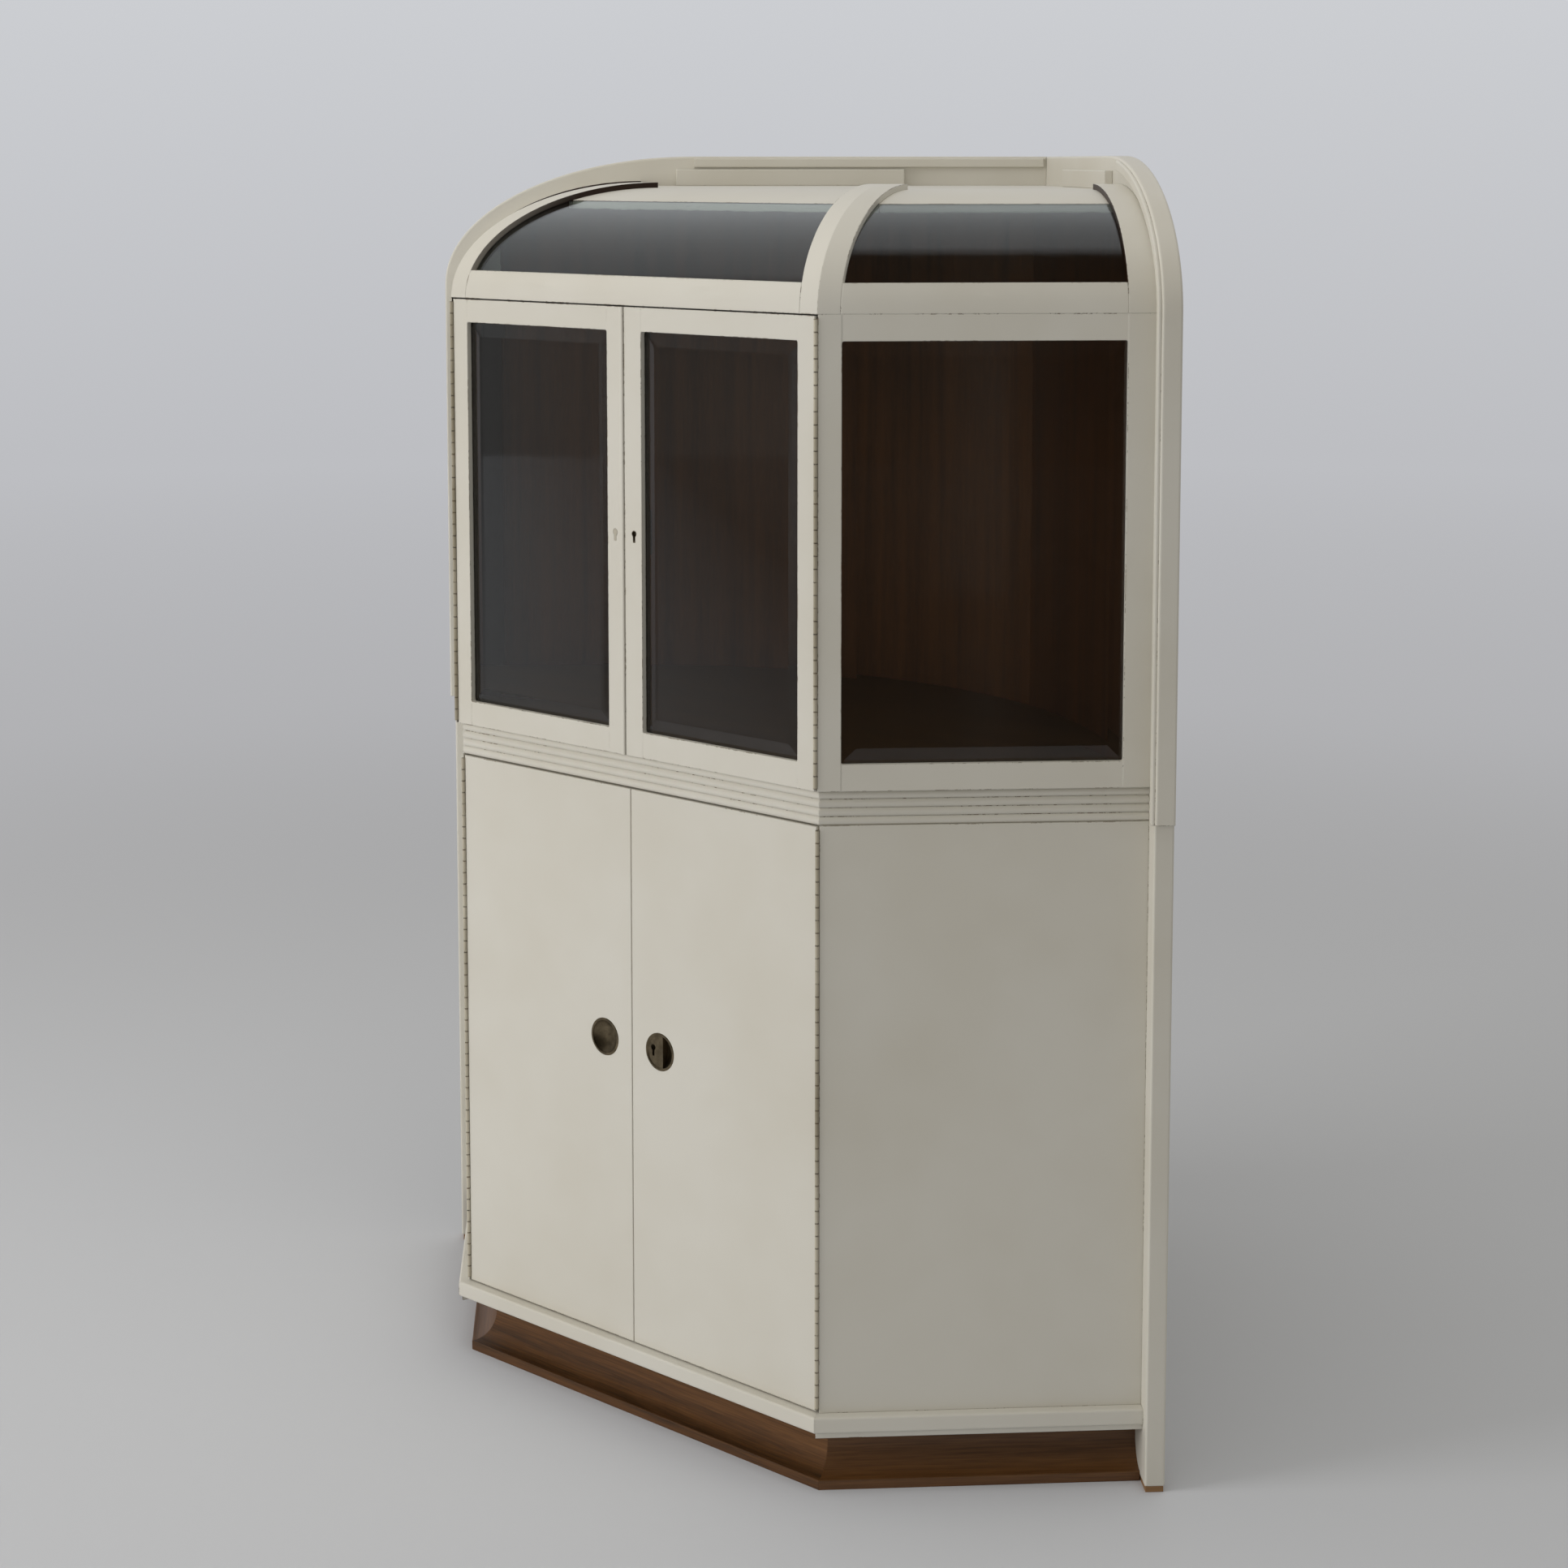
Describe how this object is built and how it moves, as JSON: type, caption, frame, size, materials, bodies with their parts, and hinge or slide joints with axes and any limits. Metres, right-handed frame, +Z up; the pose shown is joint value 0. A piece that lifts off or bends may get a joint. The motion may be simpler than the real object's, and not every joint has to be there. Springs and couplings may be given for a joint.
{
  "type": "corner display cabinet",
  "caption": "Corner display cabinet with bevelled glass doors and a curved glass hood over a plain two-door cupboard, painted cream on a dark plinth.",
  "frame": {"origin": "middle of the bounding box at the floor", "axes": "+Z up, +Y towards the room's corner, +X to the right seen from the front"},
  "size_m": [1.4534, 1.0538, 1.85],
  "materials": {
    "cream_paint": "satin oil paint on wood, slightly worn",
    "stained_wood": "dark stain under thin varnish",
    "veneer": "varnished reddish veneer",
    "bare_wood": "bare softwood",
    "glass": "clear plate",
    "steel": "dulled steel",
    "bronze": "dark patinated bronze"
  },
  "bodies": {
    "carcass": {"arch_beads": "cream_paint", "base_board": "bare_wood", "base_fillets": "cream_paint", "base_rails": "cream_paint", "board_feet": "bare_wood", "bowed_back": "veneer", "cupboard_shelf": "bare_wood", "display_floor": "veneer", "end_ribs": "cream_paint", "fixed_hinge_leaves": "steel", "front_cross_rails": "cream_paint", "hinge_pins": "steel", "hip_ribs": "cream_paint", "hood_bottom_rails": "cream_paint", "hood_glass_front": "glass", "hood_glass_left": "glass", "hood_glass_right": "glass", "hood_top_rails": "cream_paint", "plinth_front": "stained_wood", "plinth_left": "stained_wood", "plinth_right": "stained_wood", "reed_bands": "cream_paint", "roof_board": "bare_wood", "shelf_battens": "bare_wood", "side_frame_left": "cream_paint", "side_frame_right": "cream_paint", "side_glass_left": "glass", "side_glass_right": "glass", "side_glazing_beads": "cream_paint", "side_panel_lower_left": "cream_paint", "side_panel_lower_right": "cream_paint", "top_battens": "cream_paint", "wall_board_lower_left": "cream_paint", "wall_board_lower_right": "cream_paint", "wall_board_upper_left": "cream_paint", "wall_board_upper_right": "cream_paint"},
    "upper_right_door": {"upper_right_door_frame": "cream_paint", "upper_right_door_glass": "glass", "upper_right_glazing_beads": "cream_paint", "upper_right_hinge_leaf": "steel", "upper_keyhole_liner": "bronze", "upper_lock_case": "steel"},
    "upper_left_door": {"upper_left_door_frame": "cream_paint", "upper_left_door_glass": "glass", "upper_left_glazing_beads": "cream_paint", "upper_left_hinge_leaf": "steel", "upper_keyhole_plug": "bronze", "upper_meeting_bead": "cream_paint", "upper_lock_keep": "steel"},
    "lower_right_door": {"lower_right_door_panel": "cream_paint", "lower_right_hinge_leaf": "steel", "lower_right_pull": "bronze", "lower_pull_cover": "bronze", "lower_lock_case": "steel"},
    "lower_left_door": {"lower_left_door_panel": "cream_paint", "lower_left_hinge_leaf": "steel", "lower_left_pull": "bronze", "lower_lock_keep": "steel"},
    "upper_bolt": {"upper_lock_bolt": "steel"},
    "lower_bolt": {"lower_lock_bolt": "steel"}
  },
  "joints": [
    {"name": "upper_right_hinge", "type": "hinge", "parent": "carcass", "child": "upper_right_door", "pos_m": [0.3592, -0.52115, 1.316], "axis": [0, 0, 1], "range_deg": [0, 170]},
    {"name": "upper_left_hinge", "type": "hinge", "parent": "carcass", "child": "upper_left_door", "pos_m": [-0.3592, -0.52115, 1.316], "axis": [0, 0, -1], "range_deg": [0, 170]},
    {"name": "lower_right_hinge", "type": "hinge", "parent": "carcass", "child": "lower_right_door", "pos_m": [0.35547, -0.51215, 0.529], "axis": [0, 0, 1], "range_deg": [0, 170]},
    {"name": "lower_left_hinge", "type": "hinge", "parent": "carcass", "child": "lower_left_door", "pos_m": [-0.35547, -0.51215, 0.529], "axis": [0, 0, -1], "range_deg": [0, 170]},
    {"name": "upper_bolt_slide", "type": "slide", "parent": "upper_right_door", "child": "upper_bolt", "axis": [-1, 0, 0], "range_m": [0, 0.008]},
    {"name": "lower_bolt_slide", "type": "slide", "parent": "lower_right_door", "child": "lower_bolt", "axis": [-1, 0, 0], "range_m": [0, 0.008]}
  ]
}
